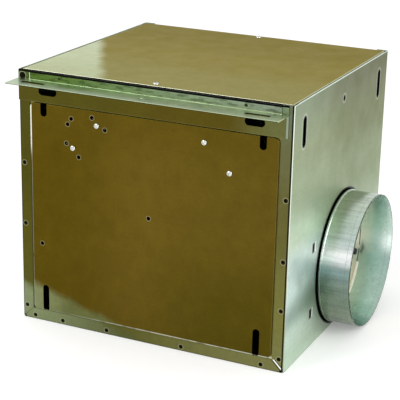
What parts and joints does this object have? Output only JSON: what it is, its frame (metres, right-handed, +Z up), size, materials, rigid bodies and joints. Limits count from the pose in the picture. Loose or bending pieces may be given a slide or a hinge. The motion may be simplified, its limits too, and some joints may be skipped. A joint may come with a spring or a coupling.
{
  "type": "ceiling exhaust fan",
  "caption": "Square cabinet exhaust fan in folded sheet, with a round side duct collar and damper, a front mounting flange and a lift-off cover over a scroll blower.",
  "frame": {"origin": "middle of the closed face that the housing stands on", "axes": "+Z up towards the removable cover, +X out of the duct collar, -Y towards the mounting flange"},
  "size_m": [0.481, 0.4385, 0.3928],
  "materials": {
    "galvanised_sheet": "rolled, satin",
    "zinc_fastener": "bright zinc",
    "machined_steel": "turned",
    "core_steel": "dull",
    "copper_winding": "varnished copper",
    "motor_paint": "black satin paint",
    "bare_aluminium": "mill finish",
    "black_rubber": "matte",
    "black_plastic": "matte",
    "white_plastic": "satin"
  },
  "bodies": {
    "housing": {"arm_bolts": "zinc_fastener", "arm_grommets": "black_rubber", "arm_nuts": "zinc_fastener", "back_panel": "galvanised_sheet", "bearing_clips": "machined_steel", "bottom_pan": "galvanised_sheet", "capacitor_strap": "galvanised_sheet", "collar_gasket": "black_rubber", "damper_bushings": "white_plastic", "damper_lower_seal": "black_rubber", "damper_upper_seal": "black_rubber", "duct_collar": "galvanised_sheet", "flange_rivets": "zinc_fastener", "front_inlet_ring": "galvanised_sheet", "front_panel": "galvanised_sheet", "hanger_bolts": "zinc_fastener", "hanger_nuts": "zinc_fastener", "hanger_screws": "zinc_fastener", "left_hanger": "galvanised_sheet", "left_side": "galvanised_sheet", "motor_arms": "galvanised_sheet", "motor_band": "galvanised_sheet", "motor_bearings": "machined_steel", "motor_front_bell": "motor_paint", "motor_rear_bell": "motor_paint", "motor_receptacle": "white_plastic", "motor_shell": "motor_paint", "motor_stator": "core_steel", "motor_windings": "copper_winding", "mounting_flange": "galvanised_sheet", "outlet_plate": "galvanised_sheet", "rear_inlet_ring": "galvanised_sheet", "right_hanger": "galvanised_sheet", "right_side": "galvanised_sheet", "run_capacitor": "bare_aluminium", "scroll_front_plate": "galvanised_sheet", "scroll_rear_plate": "galvanised_sheet", "scroll_tongue": "galvanised_sheet", "scroll_wrap": "galvanised_sheet", "seam_rivets": "zinc_fastener", "top_rail": "galvanised_sheet", "wiring_box": "galvanised_sheet", "wiring_box_cover": "galvanised_sheet", "wiring_box_screws": "zinc_fastener"},
    "wheel": {"motor_shaft": "machined_steel", "motor_rotor": "core_steel", "wheel_hub": "machined_steel", "hub_set_screw": "zinc_fastener", "wheel_disc": "galvanised_sheet", "wheel_blades_front": "galvanised_sheet", "wheel_blades_rear": "galvanised_sheet", "wheel_front_ring": "galvanised_sheet", "wheel_rear_ring": "galvanised_sheet"},
    "damper": {"damper_blade": "bare_aluminium", "damper_rod": "zinc_fastener", "damper_spring": "zinc_fastener", "damper_clips": "black_plastic"},
    "cover": {"top_cover": "galvanised_sheet", "cover_screws": "zinc_fastener"}
  },
  "joints": [
    {"name": "wheel_spin", "type": "hinge", "parent": "housing", "child": "wheel", "pos_m": [0, 0, 0.1965], "axis": [0, -1, 0], "continuous": true},
    {"name": "damper_swing", "type": "hinge", "parent": "housing", "child": "damper", "pos_m": [0.2097, 0.022, 0.085], "axis": [0, 1, 0], "range_deg": [0, 75], "stiffness_Nm_per_rad": 0.03, "springref_deg": -17.19},
    {"name": "cover_lift", "type": "slide", "parent": "housing", "child": "cover", "axis": [0, 0, 1], "range_m": [0, 0.12]}
  ]
}
